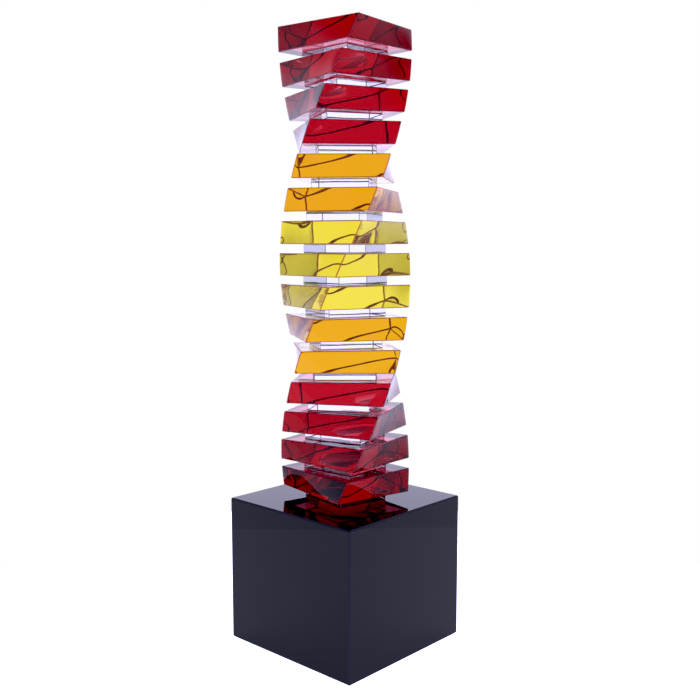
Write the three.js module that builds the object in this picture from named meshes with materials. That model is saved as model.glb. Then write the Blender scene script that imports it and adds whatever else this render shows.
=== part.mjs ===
// Column trophy: fifteen twisted glass blocks, four red, two amber, three yellow, two amber and four red,
// stacked on a polished black glass base with a clear glass spacer bonded under each of them.
// Millimetres, +Z up, origin at the middle of the base's underside, base sides along X and Y.
import * as THREE from "three";

// Black base
const baseWidth = 112.5;
const baseHeight = 100;
const baseBevel = 1.2;

// Coloured blocks: slabs of thick cast glass whose upper face is turned against the lower one
const blockWidth = 60;
const blockDepth = 66.5;
const blockHeight = 15;
const blockBevel = 0.5;
const blockTwist = 8.33;

// Clear spacers: straight pieces of 6 mm sheet, set in from the edge of the block that they carry
const spacerHeight = 5.8;
const spacerInsetWidth = 11;
const spacerInsetDepth = 12;
const spacerBevel = 0.35;

// Clear adhesive film between two bonded faces
const bondFilm = 0.1;

// Turns about the column's axis, in degrees, counted anticlockwise from above
const lowestBlockTurn = 78.5;
const turnBetweenBlocks = 5.2;

// Colours of the blocks, from the lowest to the highest
const bands = [
  { name: "red", count: 4 },
  { name: "amber", count: 2 },
  { name: "yellow", count: 3 },
  { name: "amber", count: 2 },
  { name: "red", count: 4 },
];
const glassColours = {
  red: 0xb4101f,
  amber: 0xe69a12,
  yellow: 0xe6dc4b,
};
const clearColour = 0xe9eaf2;
const blackColour = 0x0b0c12;

// Facets that a twisted side is divided into, along the side and up its height
const facetsAlongSide = 4;
const facetsUpSide = 4;

const spacerWidth = blockWidth - 2 * spacerInsetWidth;
const spacerDepth = blockDepth - 2 * spacerInsetDepth;
const layerHeight = bondFilm + spacerHeight + bondFilm + blockHeight;
const layerTurn = blockTwist + turnBetweenBlocks;

// Places of the grid lines across one side of a bevelled block: its two ends, the two bevel lines,
// and the lines that divide the stretch between them.
function gridLines(length, bevel, divisions) {
  const lines = [-length / 2];
  for (let i = 0; i <= divisions; i++) {
    lines.push(-length / 2 + bevel + ((length - 2 * bevel) * i) / divisions);
  }
  lines.push(length / 2);
  return lines;
}

// A rectangular block standing on z = 0 with every edge ground to a flat bevel at 45 degrees. The box's
// corner lines are drawn in by half the bevel, so that the strips on both sides of them lie in one plane.
function bevelledBlock(width, depth, height, bevel, divisions) {
  const size = [width, depth, height];
  const lines = size.map((length, axis) => gridLines(length, bevel, divisions[axis]));
  const segments = lines.map((places) => places.length - 1);
  const geometry = new THREE.BoxGeometry(...size, ...segments);
  const position = geometry.getAttribute("position");
  for (let i = 0; i < position.count; i++) {
    const steps = size.map((length, axis) => {
      return Math.round((position.getComponent(i, axis) / length + 0.5) * segments[axis]);
    });
    const onOuterLine = steps.map((step, axis) => step === 0 || step === segments[axis]);
    const onEdge = onOuterLine.filter(Boolean).length > 1;
    steps.forEach((step, axis) => {
      const place = lines[axis][step];
      const drawnIn = onEdge && onOuterLine[axis] ? (Math.sign(place) * bevel) / 2 : 0;
      position.setComponent(i, axis, place - drawnIn);
    });
  }
  return geometry.translate(0, 0, height / 2);
}

// Turns each level of a geometry about Z, from nothing at z = 0 to the full angle at the given height.
function twist(geometry, height, degrees) {
  const position = geometry.getAttribute("position");
  const point = new THREE.Vector3();
  const up = new THREE.Vector3(0, 0, 1);
  for (let i = 0; i < position.count; i++) {
    point.fromBufferAttribute(position, i);
    point.applyAxisAngle(up, (THREE.MathUtils.degToRad(degrees) * point.z) / height);
    position.setXYZ(i, point.x, point.y, point.z);
  }
  geometry.computeVertexNormals();
  return geometry;
}

function glass(colour) {
  return new THREE.MeshStandardMaterial({ color: colour, roughness: 0.02, metalness: 0 });
}

function piece(name, geometry, colour, height, turn) {
  const mesh = new THREE.Mesh(geometry, glass(colour));
  mesh.name = name;
  mesh.position.z = height;
  mesh.rotation.z = THREE.MathUtils.degToRad(turn);
  return mesh;
}

function baseBlock() {
  const geometry = bevelledBlock(baseWidth, baseWidth, baseHeight, baseBevel, [1, 1, 1]);
  return piece("black_base", geometry, blackColour, 0, 0);
}

function colouredBlock(name, colour, height, turn) {
  const divisions = [facetsAlongSide, facetsAlongSide, facetsUpSide];
  const straight = bevelledBlock(blockWidth, blockDepth, blockHeight, blockBevel, divisions);
  return piece(name, twist(straight, blockHeight, blockTwist), colour, height, turn);
}

function clearSpacer(name, height, turn) {
  const geometry = bevelledBlock(spacerWidth, spacerDepth, spacerHeight, spacerBevel, [1, 1, 1]);
  return piece(name, geometry, clearColour, height, turn);
}

// The column: each layer is a spacer bonded to what is below it, and a coloured block bonded to the
// spacer. A spacer lies square to the underside of the block that it carries.
function column() {
  const group = new THREE.Group();
  const colours = bands.flatMap((band) => Array(band.count).fill(band.name));
  colours.forEach((colourName, layer) => {
    const number = String(layer + 1).padStart(2, "0");
    const turn = lowestBlockTurn + layer * layerTurn;
    const spacerFoot = layer * layerHeight + bondFilm;
    const blockFoot = spacerFoot + spacerHeight + bondFilm;
    group.add(clearSpacer("clear_spacer_" + number, spacerFoot, turn));
    group.add(colouredBlock(colourName + "_block_" + number, glassColours[colourName], blockFoot, turn));
  });
  group.position.z = baseHeight;
  return group;
}

const trophy = new THREE.Group();
trophy.add(baseBlock());
trophy.add(column());

export default trophy;
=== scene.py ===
import math

import bmesh
import bpy
from mathutils import Matrix, Vector


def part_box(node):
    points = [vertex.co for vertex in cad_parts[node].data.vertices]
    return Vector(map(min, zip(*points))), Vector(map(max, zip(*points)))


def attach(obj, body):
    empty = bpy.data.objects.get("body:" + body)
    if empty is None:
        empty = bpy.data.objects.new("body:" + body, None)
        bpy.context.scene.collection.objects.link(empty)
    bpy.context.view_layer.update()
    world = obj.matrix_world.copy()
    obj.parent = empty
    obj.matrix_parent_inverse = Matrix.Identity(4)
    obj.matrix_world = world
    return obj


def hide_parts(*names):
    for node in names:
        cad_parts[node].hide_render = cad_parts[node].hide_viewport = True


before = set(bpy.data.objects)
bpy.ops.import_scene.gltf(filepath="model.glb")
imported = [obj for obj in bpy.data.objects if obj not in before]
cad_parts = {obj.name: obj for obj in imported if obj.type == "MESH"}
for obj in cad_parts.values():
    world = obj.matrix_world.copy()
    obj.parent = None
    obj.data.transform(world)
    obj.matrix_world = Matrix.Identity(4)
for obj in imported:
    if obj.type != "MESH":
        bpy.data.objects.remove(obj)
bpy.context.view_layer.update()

scene = bpy.context.scene

# ---------------------------------------------------------------------------------------------
# Camera. It faces one upright edge of the base from a little above the middle of the column and
# looks slightly down. Lengths are metres and angles degrees.
camera_azimuth = 43.135
camera_distance = 0.6381
camera_height = 0.2743
camera_tilt_down = 6.444
camera_turn_right = 0.297
film_width = 36.0
lens_in_film_widths = 1.34502
nearest_seen = 0.01

azimuth = math.radians(camera_azimuth)
camera_data = bpy.data.cameras.new("studio_camera")
camera_data.sensor_width = film_width
camera_data.lens = film_width * lens_in_film_widths
camera_data.clip_start = nearest_seen
camera = bpy.data.objects.new("studio_camera", camera_data)
camera.location = (
    camera_distance * math.sin(azimuth),
    -camera_distance * math.cos(azimuth),
    camera_height,
)
camera.rotation_euler = (
    math.radians(90 - camera_tilt_down),
    0,
    math.radians(camera_azimuth - camera_turn_right),
)
scene.collection.objects.link(camera)
scene.camera = camera

# ---------------------------------------------------------------------------------------------
# Light. A white tent stands round the trophy, brightest behind it, weaker at the sides and in
# front, and dark overhead. Light goes through many faces of the stack, hence the long paths.
scene.view_settings.view_transform = "Standard"
scene.view_settings.use_curve_mapping = True
deepest_black = 0.026
scene.view_settings.curve_mapping.black_level = (deepest_black, deepest_black, deepest_black)
longest_path = 64
most_reflections = 32
scene.cycles.max_bounces = longest_path
scene.cycles.transmission_bounces = longest_path
scene.cycles.transparent_max_bounces = longest_path
scene.cycles.glossy_bounces = most_reflections
scene.cycles.use_denoising = True

# Each stop is a cosine with the axis and the tent's colour there.
up = (0, 0, 1)
away_from_camera = (-math.sin(azimuth), math.cos(azimuth), 0)
light_behind = [
    (-0.80, (0.90, 0.90, 1.20)),
    (-0.25, (1.15, 1.13, 1.53)),
    (0.48, (1.15, 1.13, 1.53)),
    (0.70, (0.30, 0.30, 0.40)),
    (0.90, (0.06, 0.06, 0.08)),
]
light_beside = [
    (-0.60, (0.60, 0.60, 0.82)),
    (-0.10, (0.74, 0.74, 1.00)),
    (0.20, (0.66, 0.66, 0.90)),
    (0.45, (0.34, 0.34, 0.46)),
    (0.80, (0.20, 0.20, 0.28)),
]
light_in_front = (0.58, 0.58, 0.80, 1)
seen_direct = (1, 1, 1, 1)
share_behind = [(0.25, (0, 0, 0)), (0.64, (1, 1, 1))]
share_in_front = [(-0.90, (1, 1, 1)), (-0.30, (0, 0, 0))]

world = bpy.data.worlds.new("white_tent")
world.use_nodes = True
nodes, links = world.node_tree.nodes, world.node_tree.links
direction = nodes.new("ShaderNodeTexCoord")


def light_ramp(axis, stops):
    """A colour for each cosine between the direction looked in and an axis."""
    cosine = nodes.new("ShaderNodeVectorMath")
    cosine.operation = "DOT_PRODUCT"
    cosine.inputs[1].default_value = axis
    links.new(direction.outputs["Generated"], cosine.inputs[0])
    share = nodes.new("ShaderNodeMapRange")
    share.inputs["From Min"].default_value = -1
    links.new(cosine.outputs["Value"], share.inputs["Value"])
    ramp = nodes.new("ShaderNodeValToRGB")
    ramp.color_ramp.interpolation = "EASE"
    while len(ramp.color_ramp.elements) < len(stops):
        ramp.color_ramp.elements.new(0.5)
    for element, (place, colour) in zip(ramp.color_ramp.elements, stops):
        element.position = (place + 1) / 2
        element.color = (*colour, 1)
    links.new(share.outputs["Result"], ramp.inputs["Fac"])
    return ramp.outputs["Color"]


def mixed(factor, first, second):
    """The mix of two colours, each given as a value or as a socket."""
    mix = nodes.new("ShaderNodeMix")
    mix.data_type = "RGBA"
    links.new(factor, mix.inputs["Factor"])
    for value, socket in ((first, mix.inputs["A"]), (second, mix.inputs["B"])):
        if isinstance(value, tuple):
            socket.default_value = value
        else:
            links.new(value, socket)
    return mix.outputs["Result"]


round_the_sides = mixed(
    light_ramp(away_from_camera, share_behind),
    light_ramp(up, light_beside),
    light_ramp(up, light_behind),
)
tent = mixed(light_ramp(away_from_camera, share_in_front), round_the_sides, light_in_front)
ray = nodes.new("ShaderNodeLightPath")
shown = mixed(ray.outputs["Is Camera Ray"], tent, seen_direct)
links.new(shown, nodes["Background"].inputs["Color"])
scene.world = world

# ---------------------------------------------------------------------------------------------
# Table. A round top covered with white paper that glows with the light of the tent. Its edge
# shows in the polished sides of the base, and looked at directly it is as white as the tent.
table_radius = 0.33
table_sides = 128
paper_colour = (0.9, 0.9, 0.9, 1)
paper_glow = (0.42, 0.42, 0.58, 1)
strength_seen_direct = 4
paper_roughness = 0.9
paper_sheen_level = 0.1

rim = [2 * math.pi * side / table_sides for side in range(table_sides)]
table_mesh = bpy.data.meshes.new("round_table")
table_mesh.from_pydata(
    [(table_radius * math.cos(turn), table_radius * math.sin(turn), 0) for turn in rim],
    [],
    [tuple(range(table_sides))],
)
table = bpy.data.objects.new("round_table", table_mesh)
scene.collection.objects.link(table)
paper = bpy.data.materials.new("white_paper")
paper.use_nodes = True
paper_shader = paper.node_tree.nodes["Principled BSDF"]
paper_shader.inputs["Base Color"].default_value = paper_colour
paper_shader.inputs["Roughness"].default_value = paper_roughness
paper_shader.inputs["Specular IOR Level"].default_value = paper_sheen_level
paper_shader.inputs["Emission Color"].default_value = paper_glow
paper_seen = paper.node_tree.nodes.new("ShaderNodeLightPath")
paper_strength = paper.node_tree.nodes.new("ShaderNodeMapRange")
paper_strength.inputs["To Min"].default_value = 1
paper_strength.inputs["To Max"].default_value = strength_seen_direct
paper.node_tree.links.new(paper_seen.outputs["Is Camera Ray"], paper_strength.inputs["Value"])
paper.node_tree.links.new(paper_strength.outputs["Result"], paper_shader.inputs["Emission Strength"])
table_mesh.materials.append(paper)

# ---------------------------------------------------------------------------------------------
# Black base. A solid cube-like block of black glass, sawn, ground flat and polished on all its
# sides, with a satin bevel along every edge. The lowest spacer is bonded to the middle of its top.
base_bevel = 0.0012
base_colours = ((0.009, 0.010, 0.007, 1), (0.012, 0.013, 0.010, 1))
base_polish = (0.012, 0.035)
base_bevel_colour = (0.03, 0.03, 0.04, 1)
base_bevel_roughness = 0.4
base_cloud_scale = 30
base_cloud_detail = 2
base_wave_height = 0.00001
open_gloss = 0.5
bonded_gloss = 0
glass_ior = 1.52
spacer_width = 0.038
spacer_depth = 0.0425
spacer_bevel = 0.00035
lowest_turn = math.radians(78.5)
same_place = 1e-6
cut_tolerance = 1e-7
sharpest_smooth_angle = math.radians(12)


def bevelled_lines(length, bevel, steps):
    """Places of the grid lines across one side: both ends, both bevel lines, and steps between."""
    inner = [-length / 2 + bevel + (length - 2 * bevel) * i / steps for i in range(steps + 1)]
    return [-length / 2, *inner, length / 2]


def ground_block(size, bevel, steps):
    """A rectangular block standing on z = 0 whose edges are ground to a flat 45 degree bevel."""
    lines = [bevelled_lines(length, bevel, count) for length, count in zip(size, steps)]
    last = [len(places) - 1 for places in lines]
    mesh = bmesh.new()
    ground = mesh.faces.layers.float.new("ground_edge")
    mesh.faces.layers.float.new("bonded")
    corners = {}

    def corner(*step):
        if step not in corners:
            outer = [at in (0, end) for at, end in zip(step, last)]
            place = Vector([lines[axis][step[axis]] for axis in range(3)])
            for axis in range(3):
                if outer[axis] and sum(outer) > 1:
                    place[axis] -= math.copysign(bevel / 2, place[axis])
            place.z += size[2] / 2
            corners[step] = mesh.verts.new(place)
        return corners[step]

    for axis in range(3):
        u, v = (axis + 1) % 3, (axis + 2) % 3
        for end in (0, last[axis]):
            for i in range(last[u]):
                for j in range(last[v]):
                    step = [0, 0, 0]
                    step[axis] = end
                    ring = []
                    for along_u, along_v in ((0, 0), (1, 0), (1, 1), (0, 1)):
                        step[u], step[v] = i + along_u, j + along_v
                        ring.append(corner(*step))
                    face = mesh.faces.new(ring if end else reversed(ring))
                    face[ground] = i in (0, last[u] - 1) or j in (0, last[v] - 1)
    return mesh


def faces_at(mesh, level):
    """The faces that lie flat at one height."""
    return [f for f in mesh.faces if all(abs(v.co.z - level) < same_place for v in f.verts)]


def mark_bond(mesh, level, turn):
    """Cuts the outline of a spacer's end into a flat face and marks what lies inside it."""
    half = (spacer_width / 2 - spacer_bevel, spacer_depth / 2 - spacer_bevel)
    turned = Matrix.Rotation(turn, 3, "Z")
    for axis in range(2):
        for side in (-half[axis], half[axis]):
            place = Vector((0, 0, 0))
            place[axis] = side
            flat = faces_at(mesh, level)
            parts = {*flat, *(e for f in flat for e in f.edges), *(v for f in flat for v in f.verts)}
            bmesh.ops.bisect_plane(
                mesh,
                geom=list(parts),
                dist=cut_tolerance,
                plane_co=turned @ place,
                plane_no=turned @ place.normalized(),
            )
    bonded = mesh.faces.layers.float["bonded"]
    for face in faces_at(mesh, level):
        centre = turned.inverted() @ face.calc_center_median()
        if abs(centre.x) < half[0] and abs(centre.y) < half[1]:
            face[bonded] = 1


def finished(mesh, name, *materials):
    """The mesh as an object, smooth over its faces and sharp at its bevels."""
    data = bpy.data.meshes.new(name)
    mesh.to_mesh(data)
    mesh.free()
    data.polygons.foreach_set("use_smooth", [True] * len(data.polygons))
    data.set_sharp_from_angle(angle=sharpest_smooth_angle)
    for material in materials:
        data.materials.append(material)
    piece = bpy.data.objects.new(name, data)
    scene.collection.objects.link(piece)
    return piece


def from_mask(tree, mask, name, unmarked, marked):
    """A number that is one thing on most faces and another on the marked ones."""
    mark = tree.nodes.new("ShaderNodeAttribute")
    mark.attribute_name = mask
    choice = tree.nodes.new("ShaderNodeMapRange")
    choice.inputs["To Min"].default_value = unmarked
    choice.inputs["To Max"].default_value = marked
    tree.links.new(mark.outputs["Fac"], choice.inputs["Value"])
    tree.links.new(choice.outputs["Result"], tree.nodes["Principled BSDF"].inputs[name])
    return choice


def clouds(tree, scale, detail):
    """Soft irregular patches that are fixed to the piece."""
    place = tree.nodes.new("ShaderNodeTexCoord")
    noise = tree.nodes.new("ShaderNodeTexNoise")
    noise.inputs["Scale"].default_value = scale
    noise.inputs["Detail"].default_value = detail
    tree.links.new(place.outputs["Object"], noise.inputs["Vector"])
    return noise.outputs["Fac"]


def waviness(tree, heights, distance):
    """The slight unevenness that polishing leaves on a ground face."""
    bump = tree.nodes.new("ShaderNodeBump")
    bump.inputs["Distance"].default_value = distance
    tree.links.new(heights, bump.inputs["Height"])
    tree.links.new(bump.outputs["Normal"], tree.nodes["Principled BSDF"].inputs["Normal"])


def black_glass(name, specular_level):
    """Black glass, cloudy to a faint degree in its colour and its polish."""
    material = bpy.data.materials.new(name)
    material.use_nodes = True
    tree = material.node_tree
    shader = tree.nodes["Principled BSDF"]
    shader.inputs["IOR"].default_value = glass_ior
    shader.inputs["Specular IOR Level"].default_value = specular_level
    cloud = clouds(tree, base_cloud_scale, base_cloud_detail)
    tone = tree.nodes.new("ShaderNodeMix")
    tone.data_type = "RGBA"
    tone.inputs["A"].default_value, tone.inputs["B"].default_value = base_colours
    tree.links.new(cloud, tone.inputs["Factor"])
    satin = tree.nodes.new("ShaderNodeMix")
    satin.data_type = "RGBA"
    satin.inputs["B"].default_value = base_bevel_colour
    tree.links.new(tone.outputs["Result"], satin.inputs["A"])
    tree.links.new(satin.outputs["Result"], shader.inputs["Base Color"])
    polish = tree.nodes.new("ShaderNodeMapRange")
    polish.inputs["To Min"].default_value, polish.inputs["To Max"].default_value = base_polish
    tree.links.new(cloud, polish.inputs["Value"])
    roughness = from_mask(tree, "ground_edge", "Roughness", 0, base_bevel_roughness)
    tree.links.new(polish.outputs["Result"], roughness.inputs["To Min"])
    tree.links.new(roughness.inputs["Value"].links[0].from_socket, satin.inputs["Factor"])
    waviness(tree, cloud, base_wave_height)
    return material


base_low, base_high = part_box("black_base")
base_size = base_high - base_low
base_mesh = ground_block(base_size, base_bevel, (1, 1, 1))
mark_bond(base_mesh, base_size.z, lowest_turn)
under_bond = base_mesh.faces.layers.float["bonded"]
for face in base_mesh.faces:
    face.material_index = round(face[under_bond])
base = finished(
    base_mesh,
    "polished_base",
    black_glass("black_glass", open_gloss),
    black_glass("black_glass_under_bond", bonded_gloss),
)
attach(base, "root")
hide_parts("black_base")

# ---------------------------------------------------------------------------------------------
# Clear spacers. Straight slabs of clear sheet glass, polished all round. A film of clear adhesive
# of slightly lower index bonds each to the piece below it and to the coloured block above it.
film_ior = 1.505
clear_loss = (3.6, 3.5, 2.4)
# Painted shade: a grey base colour on the clear glass's ground bevels, for the dark lines they show.
grey_shade_painted_on_clear_bevels = (0.5, 0.5, 0.5)
polished_tint = (1, 1, 1, 1)
edge_roughness = 0.35
edge_transmission = 0.22
wave_scale = 55
wave_detail = 0
wave_height = 0.0002
deepest_colour = 0.05
block_twist = math.radians(8.33)
turn_between_blocks = math.radians(5.2)
layer_turn = block_twist + turn_between_blocks


def polished_glass(name, lost_per_metre, painted_bevel_shade):
    """Polished glass with finely ground bevels that carry a painted shade; the rates at which it
    absorbs red, green and blue.
    """
    material = bpy.data.materials.new(name)
    material.use_nodes = True
    tree = material.node_tree
    shader = tree.nodes["Principled BSDF"]
    edge = from_mask(tree, "ground_edge", "Transmission Weight", 1, edge_transmission)
    from_mask(tree, "ground_edge", "Roughness", 0, edge_roughness)
    from_mask(tree, "bonded", "IOR", glass_ior, glass_ior / film_ior)
    # Painted shade: on the ground bevels the base colour turns to the given darker shade, which shows
    # through their low transmission.
    tint = tree.nodes.new("ShaderNodeMix")
    tint.data_type = "RGBA"
    tint.inputs["A"].default_value = polished_tint
    tint.inputs["B"].default_value = (*painted_bevel_shade, 1)
    mark = edge.inputs["Value"].links[0].from_socket
    tree.links.new(mark, tint.inputs["Factor"])
    tree.links.new(tint.outputs["Result"], shader.inputs["Base Color"])
    waviness(tree, clouds(tree, wave_scale, wave_detail), wave_height)
    absorption = tree.nodes.new("ShaderNodeVolumeAbsorption")
    density = max(lost_per_metre) / (1 - deepest_colour)
    absorption.inputs["Density"].default_value = density
    absorption.inputs["Color"].default_value = (*[1 - lost / density for lost in lost_per_metre], 1)
    tree.links.new(absorption.outputs["Volume"], tree.nodes["Material Output"].inputs["Volume"])
    return material


clear = polished_glass("clear_glass", clear_loss, grey_shade_painted_on_clear_bevels)
spacer_nodes = sorted(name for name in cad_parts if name.startswith("clear_spacer"))
for layer, node in enumerate(spacer_nodes):
    low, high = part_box(node)
    height = high.z - low.z
    mesh = ground_block((spacer_width, spacer_depth, height), spacer_bevel, (1, 1, 1))
    bonded = mesh.faces.layers.float["bonded"]
    for face in faces_at(mesh, 0) + faces_at(mesh, height):
        face[bonded] = 1
    turn = lowest_turn + layer * layer_turn
    mesh.transform(Matrix.Translation((0, 0, low.z)) @ Matrix.Rotation(turn, 4, "Z"))
    spacer = finished(mesh, "spacer_slab_" + node[-2:], clear)
    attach(spacer, "root")
    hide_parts(node)

# ---------------------------------------------------------------------------------------------
# Coloured blocks. Slabs of coloured cast glass, flat on top and underneath, their sides ground to
# a twist and polished, with a hairline bevel along every edge. The reds at both ends are deeper.
block_width = 0.060
block_depth = 0.0665
block_bevel = 0.0005
block_steps = (32, 32, 18)
lap_depth = 0.00035
lap_reach = 0.0024
glass_losses = {
    "red": (13.2, 84, 78),
    "deep_red": (17.0, 110, 96),
    "amber": (3.9, 15.2, 88),
    "yellow": (3.0, 5.4, 48),
}
# Painted shade on the ground bevels: a deeper shade of each glass's colour, standing in for the dim
# light the bevels pass.
shade_painted_on_bevels = {
    "red": (0.35, 0.05, 0.08),
    "deep_red": (0.35, 0.05, 0.08),
    "amber": (0.72, 0.18, 0.04),
    "yellow": (0.72, 0.22, 0.06),
}
deeper_layers = (0, 1, 2, 14)


def roll_off(vertex, size):
    """Draws a side face in towards its edges, as a lap that rocks a little on the slab leaves it."""
    place = vertex.co - Vector((0, 0, size[2] / 2))
    to_edge = [size[axis] / 2 - abs(place[axis]) for axis in range(3)]
    for axis in range(2):
        if to_edge[axis] < block_bevel + same_place:
            near = min(to_edge[1 - axis], to_edge[2])
            vertex.co[axis] -= math.copysign(lap_depth * math.exp(-near / lap_reach), place[axis])


tinted = {
    colour: polished_glass(colour + "_glass", lost, shade_painted_on_bevels[colour])
    for colour, lost in glass_losses.items()
}
block_nodes = sorted((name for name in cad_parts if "_block_" in name), key=lambda name: name[-2:])
for layer, node in enumerate(block_nodes):
    low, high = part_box(node)
    height = high.z - low.z
    size = (block_width, block_depth, height)
    mesh = ground_block(size, block_bevel, block_steps)
    for vertex in mesh.verts:
        roll_off(vertex, size)
        vertex.co.rotate(Matrix.Rotation(block_twist * vertex.co.z / height, 3, "Z"))
    mark_bond(mesh, 0, 0)
    if node != block_nodes[-1]:
        mark_bond(mesh, height, layer_turn)
    turn = lowest_turn + layer * layer_turn
    mesh.transform(Matrix.Translation((0, 0, low.z)) @ Matrix.Rotation(turn, 4, "Z"))
    colour = node.split("_")[0]
    # The layers in deeper_layers get the red glass that absorbs more, so the column is darker at its
    # ends.
    block_glass = tinted["deep_red" if layer in deeper_layers else colour]
    block = finished(mesh, colour + "_twisted_block_" + node[-2:], block_glass)
    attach(block, "root")
    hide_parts(node)
